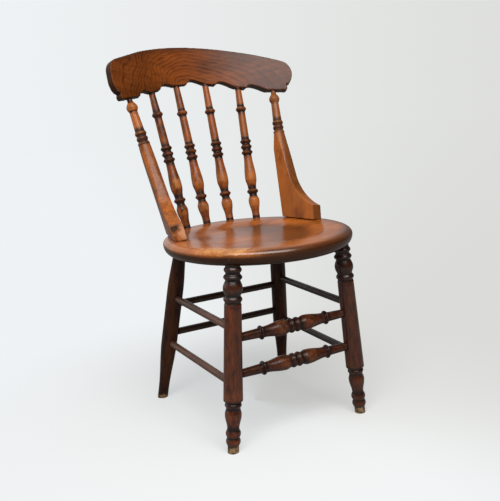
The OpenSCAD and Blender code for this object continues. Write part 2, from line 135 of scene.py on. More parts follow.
# Elm's figure: yearly rings round the heart of the tree, wavy along the plank, with long
# fibres, short open pores and slow clouds of darker stain
wood_figure, enter, leave = start_group(
    "wood_figure",
    [("Figure", "Vector", None), ("Grain", "Vector", None), ("Ring Width", "Float", 0.005),
     ("Waviness", "Float", 0.004), ("Heart", "Vector", None)],
    [("Rings", "Float"), ("Fibres", "Float"), ("Pores", "Float"), ("Clouds", "Float")])
from_heart = on_vectors(wood_figure, "SUBTRACT", enter["Figure"], enter["Heart"])
across = on_vectors(wood_figure, "MULTIPLY", from_heart, (1, 1, 0))
reach = on_vectors(wood_figure, "LENGTH", across)
slow = calc(wood_figure, "SUBTRACT", cloud(wood_figure, enter["Figure"], (26, 26, 6), 2.0), 0.5)
quick_wave = calc(wood_figure, "SUBTRACT",
    cloud(wood_figure, enter["Figure"], (120, 120, 34), 2.0), 0.5)
wave = calc(wood_figure, "MULTIPLY_ADD", quick_wave, 0.22, slow)
years = calc(wood_figure, "DIVIDE",
    calc(wood_figure, "MULTIPLY_ADD", wave, enter["Waviness"], reach), enter["Ring Width"])
year = calc(wood_figure, "FRACT", years)
late_wood = calc(wood_figure, "MULTIPLY", calc(wood_figure, "POWER", year, 1.5),
    remap(wood_figure, year, 1.0, 0.80))
weather = add_node(wood_figure, "ShaderNodeTexWhiteNoise",
    {"W": calc(wood_figure, "FLOOR", years)}, noise_dimensions="1D").outputs["Value"]
wood_figure.links.new(calc(wood_figure, "MULTIPLY", late_wood,
    calc(wood_figure, "MULTIPLY_ADD", weather, 0.7, 0.45)), leave["Rings"])
wood_figure.links.new(cloud(wood_figure, enter["Grain"], (760, 760, 16), 3.0), leave["Fibres"])
dashes = cloud(wood_figure, enter["Grain"], (1500, 1500, 70), 1.0)
wood_figure.links.new(calc(wood_figure, "MULTIPLY", remap(wood_figure, dashes, 0.60, 0.70),
    remap(wood_figure, year, 0.75, 0.2, 0.25, 1.0)), leave["Pores"])
wood_figure.links.new(cloud(wood_figure, enter["Grain"], (17, 17, 5), 3.0), leave["Clouds"])

# A hundred years of use: dark wax and dirt gather in hollows, painted shade lies where pieces
# meet, hands rub the crowns bare
long_use_and_shade, enter, leave = start_group(
    "long_use_and_shade",
    [("Place", "Vector", None), ("Hollow", "Float", 0.0), ("Crown", "Float", 0.0),
     ("Dirt and Shade", "Float", 1.0), ("Rub", "Float", 0.5)],
    [("Dirt and Shade", "Float"), ("Rub", "Float"), ("Smears", "Float")])
mottle = cloud(long_use_and_shade, enter["Place"], (95, 95, 95), 4.0, 0.6)
patches = cloud(long_use_and_shade, enter["Place"], (14, 14, 14), 3.0)
in_hollow = calc(long_use_and_shade, "MULTIPLY_ADD", calc(long_use_and_shade, "SUBTRACT", mottle, 0.5), 0.9,
    enter["Hollow"])
long_use_and_shade.links.new(calc(long_use_and_shade, "MULTIPLY", remap(long_use_and_shade, in_hollow, 0.10, 0.62),
    enter["Dirt and Shade"]), leave["Dirt and Shade"])
on_crown = calc(long_use_and_shade, "MULTIPLY", enter["Crown"],
    calc(long_use_and_shade, "MULTIPLY_ADD", mottle, 1.1, calc(long_use_and_shade, "SUBTRACT", patches, 0.35)))
long_use_and_shade.links.new(calc(long_use_and_shade, "MULTIPLY", remap(long_use_and_shade, on_crown, 0.15, 0.75),
    enter["Rub"]), leave["Rub"])
long_use_and_shade.links.new(cloud(long_use_and_shade, enter["Place"], (38, 38, 38), 4.0, 0.65), leave["Smears"])


def start_material(name):
    material = bpy.data.materials.new(name)
    material.use_nodes = True
    material.node_tree.nodes.clear()
    return material, material.node_tree


def stained_wood(name, light, dark, ring_width, waviness, heart, rings=0.75, dirt_and_shade=0.9, rub=0.4,
                 rubbed=(0.36, 0.15, 0.045, 1), figure="grain"):
    """A stained and waxed wood. It gives back its tree, and the colour, roughness and height
    of its surface so far, so that a piece's own marks can be laid on top."""
    material, tree = start_material(name)
    rings_along = attribute(tree, figure, "Vector")
    wood = add_node(tree, "ShaderNodeGroup", {"Figure": rings_along,
        "Grain": attribute(tree, "grain", "Vector"), "Ring Width": ring_width,
        "Waviness": waviness, "Heart": heart}, node_tree=wood_figure).outputs
    use = add_node(tree, "ShaderNodeGroup", {"Place": object_place(tree),
        "Hollow": attribute(tree, "hollow"), "Crown": attribute(tree, "crown"),
        "Dirt and Shade": dirt_and_shade, "Rub": rub}, node_tree=long_use_and_shade).outputs
    faded = remap(tree, cloud(tree, rings_along, (60, 60, 14), 3.0), 0.36, 0.62,
        0.45 * rings, rings)
    colour = tint(tree, calc(tree, "MULTIPLY", wood["Rings"], faded), light, dark)
    streak = remap(tree, wood["Fibres"], 0.25, 0.75, 0.72, 1.22)
    shade = calc(tree, "MULTIPLY", streak,
        remap(tree, wood["Clouds"], 0.3, 0.7, 0.64, 1.28))
    shades = add_node(tree, "ShaderNodeCombineColor", {0: shade, 1: shade, 2: shade}).outputs[0]
    colour = tint(tree, 1.0, colour, shades, "MULTIPLY")
    colour = tint(tree, calc(tree, "MULTIPLY", wood["Pores"], 0.55), colour, dark)
    colour = tint(tree, use["Rub"], colour, rubbed)
    # Old wax and dirt, and painted shade where pieces meet, darken the wood towards this colour
    old_wax_and_shade = [0.16 * c for c in dark[:3]] + [1]
    colour = tint(tree, use["Dirt and Shade"], colour, old_wax_and_shade)
    rough = remap(tree, use["Smears"], 0.3, 0.75, -0.05, 0.09)
    rough = calc(tree, "MULTIPLY_ADD", use["Dirt and Shade"], 0.14, rough)
    height = calc(tree, "MULTIPLY_ADD", wood["Fibres"], 0.5,
        calc(tree, "MULTIPLY", wood["Pores"], -0.8))
    height = calc(tree, "MULTIPLY_ADD", wood["Rings"], -0.5, height)
    height = calc(tree, "MULTIPLY_ADD", use["Smears"], 1.2, height)
    return material, tree, colour, rough, height


def wax(material, tree, colour, rough, height, shine, relief=0.00006, gloss=0.35, rubbed_wax=0.0):
    """Puts the shader under a finished wood: shine is its roughness where it is cleanest, and
    rubbed_wax is how much hands have rubbed it to a soft sheen."""
    bump = add_node(tree, "ShaderNodeBump",
        {"Height": height, "Distance": relief, "Strength": 1.0}).outputs[0]
    shader = add_node(tree, "ShaderNodeBsdfPrincipled",
        {"Base Color": colour, "Roughness": calc(tree, "ADD", rough, shine), "Normal": bump,
        "Specular IOR Level": gloss, "Coat Weight": rubbed_wax, "Coat Roughness": 0.36})
    leave = tree.nodes.new("ShaderNodeOutputMaterial")
    tree.links.new(shader.outputs[0], leave.inputs["Surface"])
    return material


def blotched(tree, colour, most, lumps, start, end, hue):
    """Old wax and stain that lie in dark blotches over part of a piece. lumps is how many
    blotches there are in a metre each way, and start and end are how sharply they begin."""
    there = remap(tree, cloud(tree, object_place(tree), lumps, 4.0, 0.6), start, end)
    return tint(tree, calc(tree, "MULTIPLY", there, most), colour, hue)


def spread(mesh, name, values, kind="FLOAT"):
    """Stores one value, or one vector, at each point of a mesh."""
    held = mesh.attributes.new(name, kind, "POINT")
    held.data.foreach_set("value" if kind == "FLOAT" else "vector",
        np.ascontiguousarray(values, np.float32).ravel())


def places(mesh):
    found = np.empty(len(mesh.vertices) * 3, np.float32)
    mesh.vertices.foreach_get("co", found)
    return found.reshape(-1, 3).astype(float)


def normals_of(mesh):
    found = np.empty(len(mesh.vertices) * 3, np.float32)
    mesh.vertices.foreach_get("normal", found)
    return found.reshape(-1, 3)


def add_object(name, data):
    made = bpy.data.objects.new(name, data)
    bpy.context.scene.collection.objects.link(made)
    return made


def finish_piece(piece, node):
    """The piece rides with the chair, in the place of its plain solid."""
    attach(piece, "root")
    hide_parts(node)


# The turned outline, from the middle of the top round the edge to the middle below
quarter = np.radians(np.arange(0, 91, 5.0))
slope = np.linspace(0, 1, 31)[1:]
outline = [(r, seat_top - dish_depth)
    for r in np.arange(0.004, dish_radius - dish_slope + 0.0001, 0.004)]
outline += [(dish_radius - dish_slope * (1 - t), seat_top - dish_depth
    * (1 + math.cos(math.pi * t)) / 2) for t in slope]
outline += [(r, seat_top) for r in np.linspace(dish_radius, seat_radius - upper_in, 14)[1:-1]]
outline += [(seat_radius - upper_in * (1 - math.sin(a)),
    seat_top - upper_down * (1 - math.cos(a))) for a in quarter]
outline += [(seat_radius - lower_in * (1 - math.cos(a)),
    seat_top - upper_down - lower_down * math.sin(a)) for a in quarter[1:]]
outline += [(r, seat_top - seat_thickness)
    for r in np.linspace(seat_radius - lower_in, 0.006, 26)[1:]]
outline = np.array(outline)
around = 360
turns = np.radians(np.arange(around) * 360 / around)
points = np.stack([outline[:, None, 0] * np.cos(turns) + seat_middle.x,
    outline[:, None, 0] * np.sin(turns) + seat_middle.y,
    np.repeat(outline[:, 1:], around, axis=1)], axis=-1).reshape(-1, 3)
points = np.vstack([points, [[seat_middle.x, seat_middle.y, outline[0, 1]],
    [seat_middle.x, seat_middle.y, outline[-1, 1]]]])
last = (len(outline) - 1) * around
faces = [(k * around + i, (k + 1) * around + i, (k + 1) * around + (i + 1) % around,
    k * around + (i + 1) % around) for k in range(len(outline) - 1) for i in range(around)]
faces += [(len(points) - 2, i, (i + 1) % around) for i in range(around)]
faces += [(len(points) - 1, last + (i + 1) % around, last + i) for i in range(around)]
seat_mesh = bpy.data.meshes.new("seat_board")
seat_mesh.from_pydata(points.tolist(), [], faces)
seat_mesh.polygons.foreach_set("use_smooth", [True] * len(faces))
from_middle = points - np.array(seat_middle)
spread(seat_mesh, "grain", from_middle[:, [1, 2, 0]] + [0.31, 0.02, 0.4], "FLOAT_VECTOR")
# Painted shade, with dirt, lies in the corner round each spindle's foot
dirt_and_shade = np.zeros(len(points))
top_face = points[:, 2] > seat_top - 0.012
reach_out = seat_radius - spindle_inset
for turn in spindle_turns:
    away = np.hypot(from_middle[:, 0] - reach_out * math.cos(math.radians(90 + turn)),
        from_middle[:, 1] - reach_out * math.sin(math.radians(90 + turn)))
    dirt_and_shade = np.maximum(dirt_and_shade, np.exp(-np.clip(away - spindle_foot, 0, 1) / 0.0022) * top_face)
spread(seat_mesh, "hollow", dirt_and_shade)
round_edge = (points[:, 2] > seat_top - 0.024) & (np.hypot(*from_middle.T[:2]) > 0.209)
spread(seat_mesh, "crown", 0.75 * round_edge)
seat = add_object("seat_board", seat_mesh)

material, tree, colour, rough, height = stained_wood("seat_elm",
    light=(0.365, 0.098, 0.0130, 1), dark=(0.165, 0.041, 0.0060, 1), ring_width=0.011,
    waviness=0.05, heart=(0.31, 0.17, 0), rings=0.5, dirt_and_shade=1.0, rub=0.10)
place = object_place(tree)
up = split(tree, place)[2]
centred = on_vectors(tree, "SUBTRACT", place, tuple(seat_middle))
sides = split(tree, centred)
# The edge is painted dark below as shade, and more so to the right
higher = calc(tree, "ADD", up, remap(tree, sides[0], -0.10, 0.05, 0.006, 0.0))
below = remap(tree, higher, seat_top - 0.002, seat_top - 0.013)
colour = tint(tree, calc(tree, "MULTIPLY", below, 0.92), colour, (0.014, 0.006, 0.003, 1))
# The left of the dish is darker than the rest of it
from_axis = on_vectors(tree, "LENGTH", on_vectors(tree, "MULTIPLY", centred, (1, 1, 0)))
left_dish = calc(tree, "MULTIPLY", remap(tree, sides[0], -0.04, -0.12, 0.0, 0.40),
    remap(tree, from_axis, 0.205, 0.175))
colour = tint(tree, left_dish, colour, (0.150, 0.037, 0.0075, 1))
# The rubbed place: a ragged patch that runs along the rim from the left to the front
turn = calc(tree, "ARCTAN2", sides[1], sides[0])
patch = calc(tree, "MULTIPLY", remap(tree, turn, -3.05, -2.45), remap(tree, turn, -1.85, -2.35))
patch = calc(tree, "MULTIPLY", patch, remap(tree, from_axis, 0.176, 0.208))
patch = calc(tree, "MULTIPLY", patch, remap(tree, up, seat_top - 0.0150, seat_top - 0.0070))
ragged = cloud(tree, place, (42, 150, 170), 5.0, 0.6)
worn = remap(tree, calc(tree, "MULTIPLY_ADD", calc(tree, "SUBTRACT", ragged, 0.5), 2.6, patch),
    0.34, 1.0)
rubbed_hue = tint(tree, remap(tree, cloud(tree, place, (30, 90, 90), 3.0), 0.35, 0.65),
    (0.38, 0.135, 0.030, 1), (0.56, 0.24, 0.068, 1))
colour = tint(tree, calc(tree, "MULTIPLY", worn, 0.88), colour, rubbed_hue)
rough = calc(tree, "MULTIPLY_ADD", worn, 0.10, rough)
# The rim is darker towards the right, and along its outermost edge except at the far left
darker_rim = calc(tree, "MULTIPLY", remap(tree, from_axis, 0.186, 0.212),
    remap(tree, sides[0], -0.02, 0.15, 0.0, 0.85))
darker_rim = calc(tree, "MAXIMUM", darker_rim, calc(tree, "MULTIPLY",
    remap(tree, from_axis, 0.206, 0.218), remap(tree, sides[0], -0.135, -0.075, 0.0, 0.8)))
colour = tint(tree, darker_rim, colour, (0.045, 0.014, 0.005, 1))
rough = calc(tree, "MULTIPLY", rough, 0.4)
seat_mesh.materials.append(wax(material, tree, colour, rough, height, shine=0.24,
    relief=0.000008, gloss=remap(tree, below, 0.0, 1.0, 0.72, 0.22)))
finish_piece(seat, "seat")

# ---- Front legs ----
# Two turned legs, each a plain shaft between stacks of beads, a ball above and a vase
# below. Their tops are glued into the seat, and the bare feet are rubbed pale by the floor.


def from_seat(radius, turn, height):
    """A place given from the middle of the seat: how far out, which way round, how high."""
    a = math.radians(turn)
    return Vector((seat_middle.x + radius * math.cos(a), seat_middle.y + radius * math.sin(a),
        height))


def mirrored(place, side):
    return Vector((place.x * side, place.y, place.z))


# The lathe: takes an outline, turns it round its axis and stands it on its foot. The
# tool wanders a little, and a foot that reaches the floor has worn level with it.
lathe, enter, leave = start_group(
    "lathe",
    [("Geometry", "Geometry", None), ("Foot", "Vector", None), ("Head", "Vector", None),
     ("Facets", "Int", 56), ("Unevenness", "Float", 0.0002), ("Cut From", "Vector", None),
     ("Finish", "Material", None)],
    [("Geometry", "Geometry")], "GeometryNodeTree")


def shape(kind, values, **settings):
    """One step of the lathe, and what comes out of it."""
    return add_node(lathe, kind, values, **settings).outputs[0]


here = lathe.nodes.new("GeometryNodeInputPosition").outputs[0]
out, _, up = split(lathe, here)
curve = shape("GeometryNodeMeshToCurve", {"Mesh": enter["Geometry"]})
curve = shape("GeometryNodeSetCurveRadius", {"Curve": curve, "Radius": out})
curve = shape("GeometryNodeSetPosition",
    {"Geometry": curve, "Position": shape("ShaderNodeCombineXYZ", {2: up})})
circle = shape("GeometryNodeCurvePrimitiveCircle", {"Resolution": enter["Facets"], "Radius": 1.0})
form = shape("GeometryNodeCurveToMesh", {"Curve": curve, "Profile Curve": circle,
    "Fill Caps": True, "Scale": lathe.nodes.new("GeometryNodeInputRadius").outputs[0]})
cut_from = on_vectors(lathe, "ADD", here, enter["Cut From"])
form = shape("GeometryNodeStoreNamedAttribute", {"Geometry": form, "Name": "grain",
    "Value": cut_from}, data_type="FLOAT_VECTOR", domain="POINT")
wander = calc(lathe, "MULTIPLY", calc(lathe, "SUBTRACT",
    cloud(lathe, cut_from, (24, 24, 40), 2.0), 0.62), enter["Unevenness"])
outwards = on_vectors(lathe, "NORMALIZE", on_vectors(lathe, "MULTIPLY", here, (1, 1, 0)))
shifted = shape("ShaderNodeVectorMath", {0: outwards, "Scale": wander}, operation="SCALE")
form = shape("GeometryNodeSetPosition", {"Geometry": form, "Offset": shifted})
along = on_vectors(lathe, "SUBTRACT", enter["Head"], enter["Foot"])
leaning = shape("FunctionNodeAlignRotationToVector", {"Vector": along}, axis="Z")
turned_to = shape("FunctionNodeRotateVector", {"Vector": here, "Rotation": leaning})
form = shape("GeometryNodeSetPosition",
    {"Geometry": form, "Position": on_vectors(lathe, "ADD", turned_to, enter["Foot"])})
form = shape("GeometryNodeSetPosition",
    {"Geometry": form, "Position": on_vectors(lathe, "MAXIMUM", here, (-9, -9, 0))})
form = shape("GeometryNodeSetShadeSmooth", {"Geometry": form})
form = shape("GeometryNodeRealizeInstances", {"Geometry": form})
form = shape("GeometryNodeSetMaterial", {"Geometry": form, "Material": enter["Finish"]})
lathe.links.new(form, leave["Geometry"])


def bead(start, end, groove, crown):
    """A bead's outline in millimetres, between two grooves: (radius, place) pairs."""
    t = np.linspace(0, 1, 11)
    return list(zip(groove + (crown - groove) * np.sin(math.pi * t), start + (end - start) * t))


def swell(start, end, r0, r1):
    t = np.linspace(0, 1, 11)
    return list(zip(r0 + (r1 - r0) * (1 - np.cos(math.pi * t)) / 2, start + (end - start) * t))


def reversed_outline(outline, end):
    return [(r, end - z) for r, z in reversed(outline)]


def soften(values, spacing, width):
    """Averages along a line, over about so many millimetres."""
    reach = max(1, int(3 * width / spacing))
    weights = np.exp(-0.5 * (np.arange(-reach, reach + 1) * spacing / width) ** 2)
    padded = np.concatenate([np.full(reach, values[0]), values, np.full(reach, values[-1])])
    return np.convolve(padded, weights / weights.sum(), "valid")


def turn_piece(name, outline, foot, head, finish, cut_from, spacing=0.7, facets=56, dirt_and_shade_at=()):
    """Turns an outline in millimetres from foot to head, and makes the result plain. Its last
    argument lists places along it, in millimetres, that are darkened: dirt in the grooves, and
    painted shade where it meets another piece."""
    radius, at = np.array(outline, float).T
    line = np.arange(at[0], at[-1] + spacing / 2, spacing)
    turned = soften(np.interp(line, at, radius), spacing, 0.55)
    near, wide = soften(turned, spacing, 3.0), soften(turned, spacing, 9.0)
    fine = np.clip(soften(np.abs(turned - near), spacing, 4.5) / 0.75, 0, 1)
    hollow = np.clip(np.maximum((near - turned) / 0.7, (wide - turned) / 2.3), 0, 1)
    hollow = np.maximum(hollow, 0.46 * fine)
    for place in dirt_and_shade_at:
        hollow = np.maximum(hollow, np.exp(-np.abs(line - place) / 3.0))
    mesh = bpy.data.meshes.new(name)
    mesh.from_pydata([(r / 1000, 0, z / 1000) for r, z in zip(turned, line)],
        [(i, i + 1) for i in range(len(line) - 1)], [])
    spread(mesh, "hollow", hollow)
    swollen = (near - soften(turned, spacing, 26.0)) / 1.6
    spread(mesh, "crown", np.clip(np.maximum(swollen, (turned - near) / 1.2), 0, 1)
        * (1 - 0.75 * fine))
    blank = add_object(name, mesh)
    turning = blank.modifiers.new("lathe", "NODES")
    turning.node_group = lathe
    given = {"Foot": foot, "Head": head, "Facets": facets, "Cut From": cut_from, "Finish": finish}
    for item in lathe.interface.items_tree:
        if item.in_out == "INPUT" and item.name in given:
            turning[item.identifier] = given[item.name]
    evaluated = blank.evaluated_get(bpy.context.evaluated_depsgraph_get())
    plain = bpy.data.meshes.new_from_object(evaluated)
    blank.modifiers.remove(turning)
    blank.data = plain
    return blank


# Where each leg goes into the seat and stands on the floor, for the right half of the chair
front_top = from_seat(seat_radius - 0.0235, -45, seat_top - seat_thickness)
front_foot = Vector((front_top.x + 0.0325, front_top.y - 0.005, 0))
rear_top = from_seat(seat_radius - 0.0215, 90 - 43, seat_top - seat_thickness)
rear_foot = Vector((rear_top.x + 0.049, rear_top.y + 0.0915, 0))
front_length = (front_top - front_foot).length * 1000

foot_turning = ([(12.6, -3.5), (12.6, 15)] + bead(17, 34, 13.6, 16.3)
    + bead(35, 51.5, 14.2, 16.8) + swell(54, 86, 13.4, 18.5) + swell(88, 101, 18.5, 15.9)
    + bead(103, 114, 16, 18.7) + [(16, 115.5)])
top_turning = (bead(3, 15, 16.2, 19.4) + [(15.8, 17)] + bead(19, 31, 16.4, 20.5)
    + [(16.3, 33)] + bead(34, 64, 17, 21.4) + bead(66.5, 79, 17.2, 20.6) + [(17.6, 81)])
scribed = front_length - 84.5
front_outline = (foot_turning + [(21.5, 118), (18.83, scribed - 5.8), (18.3, scribed - 5.2),
    (18.3, scribed - 4.6), (18.82, scribed - 4.0), (18.8, scribed)]
    + reversed_outline(top_turning, front_length)
    + [(16, front_length - 2), (16, front_length + 24)])


def worn_feet(tree, colour, rough, height=0.015):
    """Bare pale wood at the foot, with a ragged upper edge and darker blotches."""
    place = object_place(tree)
    ragged = calc(tree, "MULTIPLY_ADD", calc(tree, "SUBTRACT",
        cloud(tree, place, (180, 180, 60), 4.0), 0.5), 0.022, split(tree, place)[2])
    bare = remap(tree, ragged, height + 0.002, height - 0.003)
    blotch = remap(tree, cloud(tree, place, (130, 130, 130), 3.0), 0.4, 0.62)
    pale = tint(tree, blotch, (0.30, 0.185, 0.085, 1), (0.085, 0.046, 0.020, 1))
    colour = tint(tree, calc(tree, "MULTIPLY", bare, 0.9), colour, pale)
    return colour, calc(tree, "MULTIPLY_ADD", bare, 0.35, rough)


material, tree, colour, rough, height = stained_wood("front_leg_stain",
    light=(0.112, 0.0255, 0.0070, 1), dark=(0.030, 0.0075, 0.003, 1), ring_width=0.006,
    waviness=0.02, heart=(0.03, 0.02, 0), rings=0.7, dirt_and_shade=0.95, rub=0.5,
    rubbed=(0.18, 0.044, 0.012, 1))
# The turnings just under the seat are painted near black, as the seat's shadow on them
right, _, up = split(tree, object_place(tree))
colour = tint(tree, remap(tree, up, 0.325, 0.350, 0.0, 0.62), colour, (0.010, 0.0055, 0.004, 1))
# The right leg is darker than the left
colour = tint(tree, remap(tree, right, 0, 0.1, 0.0, 0.55), colour, (0.026, 0.008, 0.004, 1))
colour = blotched(tree, colour, most=0.6, lumps=(150, 150, 45), start=0.44, end=0.66,
    hue=(0.012, 0.0055, 0.004, 1))
colour, rough = worn_feet(tree, colour, rough)
front_leg_finish = wax(material, tree, colour, rough, height, shine=0.23, relief=0.00003,
    gloss=0.42)
for side, word, seed in ((-1, "left", 1.0), (1, "right", 2.3)):
    leg = turn_piece("front_leg_" + word + "_turned", front_outline, mirrored(front_foot, side),
        mirrored(front_top, side), front_leg_finish, (0.11 * seed, 0.07 * seed, seed),
        dirt_and_shade_at=(front_length - 1, 102, 52.5))
    finish_piece(leg, "front_leg_" + word)

# ---- Rear legs ----
# Two plainer legs, swelled along the middle and raked well back. They are stained almost
# black, and go into the seat like the front ones.

rear_length = (rear_top - rear_foot).length * 1000
rear_outline = ([(13.2, -4.5)] + swell(20, 170, 13.2, 20.2)
    + swell(rear_length - 118, rear_length - 9, 20.2, 15.2) + [(15.2, rear_length + 24)])
material, tree, colour, rough, height = stained_wood("rear_leg_stain",
    light=(0.060, 0.0170, 0.0050, 1), dark=(0.018, 0.0055, 0.0025, 1), ring_width=0.006,
    waviness=0.02, heart=(0.02, 0.03, 0), rings=0.7, rub=0.3, rubbed=(0.13, 0.038, 0.011, 1))
colour = blotched(tree, colour, most=0.7, lumps=(45, 45, 16), start=0.42, end=0.60,
    hue=(0.008, 0.004, 0.003, 1))
colour, rough = worn_feet(tree, colour, rough, height=0.010)
rear_leg_finish = wax(material, tree, colour, rough, height, shine=0.34, relief=0.00003,
    gloss=0.16)
for side, word, seed in ((-1, "left", 3.1), (1, "right", 4.2)):
    leg = turn_piece("rear_leg_" + word + "_turned", rear_outline, mirrored(rear_foot, side),
        mirrored(rear_top, side), rear_leg_finish, (0.09 * seed, 0.13 * seed, seed),
        spacing=2.0, dirt_and_shade_at=(rear_length - 1,))
    finish_piece(leg, "rear_leg_" + word)

# ---- Stretchers ----
# Plain sticks join the legs at the sides and the back. The two at the front are turned
# with long swells, single rings and a pair of rings in the middle. All are glued dry.

front_heights = {"upper": 0.2545, "lower": 0.173}
side_heights = {"upper": 0.276, "lower": 0.1545}
rear_heights = {"upper": 0.261, "lower": 0.1825}


def on_leg(foot, top, height, side):
    return mirrored(foot + (top - foot) * height / top.z, side)


# The sticks on the left are lightest, those on the right darker, and those at the back darkest
plain_finishes = {}
for where, light, dark in (
        ("left", (0.108, 0.044, 0.023, 1), (0.040, 0.017, 0.009, 1)),
        ("right", (0.045, 0.019, 0.011, 1), (0.018, 0.008, 0.005, 1)),
        ("rear", (0.032, 0.012, 0.006, 1), (0.014, 0.006, 0.0035, 1))):
    material, tree, colour, rough, height = stained_wood("plain_stretcher_" + where,
        light, dark, ring_width=0.006, waviness=0.02, heart=(0.02, 0.02, 0), rings=0.6, rub=0.3)
    plain_finishes[where] = wax(material, tree, colour, rough, height, shine=0.36)

for level in ("upper", "lower"):
    for side, word, seed in ((-1, "left", 0.4), (1, "right", 1.9)):
        ends = (on_leg(front_foot, front_top, side_heights[level], side),
            on_leg(rear_foot, rear_top, side_heights[level] + 0.003, side))
        length = (ends[1] - ends[0]).length * 1000
        stick = turn_piece(word + "_stretcher_" + level + "_turned",
            [(8.3, 3), (8.3, length - 3)], *ends, plain_finishes[word],
            (seed, 0.3 * seed, seed + front_heights[level] * 9), spacing=2.5, facets=40,
            dirt_and_shade_at=(20, length - 19))
        finish_piece(stick, word + "_stretcher_" + level)
    ends = [on_leg(rear_foot, rear_top, rear_heights[level], side) for side in (-1, 1)]
    length = (ends[1] - ends[0]).length * 1000
    stick = turn_piece("rear_stretcher_" + level + "_turned", [(8.7, 3), (8.7, length - 3)],
        *ends, plain_finishes["rear"], (0.7, 0.2, rear_heights[level] * 7), spacing=2.5,
        facets=40, dirt_and_shade_at=(20, length - 20))
    finish_piece(stick, "rear_stretcher_" + level)

material, tree, colour, rough, height = stained_wood("front_stretcher_stain",
    light=(0.070, 0.0175, 0.0058, 1), dark=(0.026, 0.0070, 0.003, 1), ring_width=0.006,
    waviness=0.02, heart=(0.02, 0.02, 0), rings=0.7, dirt_and_shade=0.85, rub=0.6,
    rubbed=(0.155, 0.046, 0.015, 1))
colour = blotched(tree, colour, most=0.7, lumps=(80, 130, 130), start=0.45, end=0.60,
    hue=(0.014, 0.006, 0.004, 1))
front_stretcher_finish = wax(material, tree, colour, rough, height, shine=0.27,
    relief=0.00003, gloss=0.3)
for level, seed in (("upper", 0.5), ("lower", 2.6)):
    ends = [on_leg(front_foot, front_top, front_heights[level], side) for side in (-1, 1)]
    half = (ends[1] - ends[0]).length * 500
    half_outline = ([(13, 0.5)] + bead(1.3, 14, 13.4, 16.8) + [(12.6, 15.5)]
        + swell(17, 27, 14.5, 17.3) + swell(31, 78.5, 17.3, 12) + bead(80.5, 88.5, 12, 16)
        + [(11, 89.5), (9.6, half - 23.5), (9.6, half - 3)])
    stick = turn_piece("front_stretcher_" + level + "_turned",
        reversed_outline(half_outline, half) + [(r, half + z) for r, z in half_outline],
        *ends, front_stretcher_finish, (seed, 0.4 * seed, seed), dirt_and_shade_at=(20, 2 * half - 20, half))
    finish_piece(stick, "front_stretcher_" + level)

# ---- Back spindles ----
# Four turned spindles lean back from the seat's rim to the crest rail, each with a swell,
# a vase and rings. Their crowns are worn to orange, their grooves are black with old wax.

back_lean = math.radians(17.5)
bend_radius = 275.0
bend_angle = math.radians(30.5)
bend_reach = bend_radius * math.sin(bend_angle)
hinge = (seat_radius - spindle_inset) * 1000
rail_low, rail_fall, rail_half = 371.0, 75.0, 300.0


def bend_back(x):
    """How far the bent rail's middle lies behind its front-most line, in millimetres."""
    if abs(x) < bend_reach:
        return math.sqrt(bend_radius ** 2 - x ** 2) - bend_radius
    return (bend_radius * math.cos(bend_angle) - bend_radius
        - (abs(x) - bend_reach) * math.tan(bend_angle))


def low_edge(x):
    """How high the rail's lower edge stands over the seat, in millimetres up the back."""
    return rail_low - rail_fall / 2 * (1 - math.cos(math.pi * x / rail_half))


def leaned(x, y, z):
    """A place on the upright back, in millimetres, leaned back over the seat's rim."""
    return Vector((x / 1000,
        seat_middle.y + (hinge + y * math.cos(back_lean) + z * math.sin(back_lean)) / 1000,
        seat_top + (z * math.cos(back_lean) - y * math.sin(back_lean)) / 1000))


def spindle_outline(length):
    return ([(9.8, -20)] + swell(12, 45, 9.8, 14.4) + swell(46, 62, 14.4, 9.9)
        + bead(65, 76, 11, 15) + [(10.3, 79.5)] + swell(81, 105, 11, 15)
        + swell(110, 165, 15, 10.9) + [(10.5, 168)] + bead(171, 181, 11.2, 15) + [(11, 183.5)]
        + bead(186, 196.5, 11.2, 14.8) + [(10.7, 199)] + bead(201, 211.5, 11, 14.6)
        + [(10.6, 214), (10.4, 240), (9.6, 286)] + bead(289, 301, 10.2, 14)
        + [(9.8, 304), (8.2, length - 12), (8.2, length + 18)])


material, tree, colour, rough, height = stained_wood("spindle_stain",
    light=(0.275, 0.069, 0.0118, 1), dark=(0.080, 0.0188, 0.0048, 1), ring_width=0.005,
    waviness=0.018, heart=(0.02, 0.012, 0), rings=0.75, dirt_and_shade=0.97, rub=0.6,
    rubbed=(0.46, 0.155, 0.034, 1))
# The two on the left are dirtier than the two on the right
right = split(tree, object_place(tree))[0]
lightest = calc(tree, "MULTIPLY", remap(tree, right, 0.05, 0.10, 0.0, 0.24),
    remap(tree, attribute(tree, "hollow"), 0.02, 0.30, 1.0, 0.0))
colour = tint(tree, lightest, colour, (0.46, 0.140, 0.024, 1))
colour = blotched(tree, colour, most=remap(tree, right, -0.16, 0.10, 0.85, 0.0),
    lumps=(55, 55, 26), start=0.42, end=0.58, hue=(0.045, 0.0120, 0.0040, 1))
spindle_finish = wax(material, tree, colour, rough, height, shine=0.32, relief=0.00002,
    gloss=0.28)
for number, turn, across_rail, seed in zip((1, 2, 3, 4), spindle_turns,
        (-123.5, -42.0, 42.0, 123.5), (1.1, 2.4, 3.7, 6.3)):
    foot = from_seat(seat_radius - spindle_inset, 90 + turn, seat_top)
    head = leaned(across_rail, bend_back(across_rail), low_edge(across_rail))
    length = (head - foot).length * 1000
    spindle = turn_piece("back_spindle_%d_turned" % number, spindle_outline(length), foot, head,
        spindle_finish, (seed, 0.6 * seed, 1.7 * seed),
        dirt_and_shade_at=(1, length - 2, 64, 79, 168, 183.5, 199, 213.5, 288, 303))
    finish_piece(spindle, "back_spindle_%d" % number)

# ---- Back posts ----
# Each post is a board 29 mm thick, sawn to a hollow curve and spokeshaved round towards a
# turned top. It stands on the seat on hidden pegs, and the left one's toe is bruised and pale.

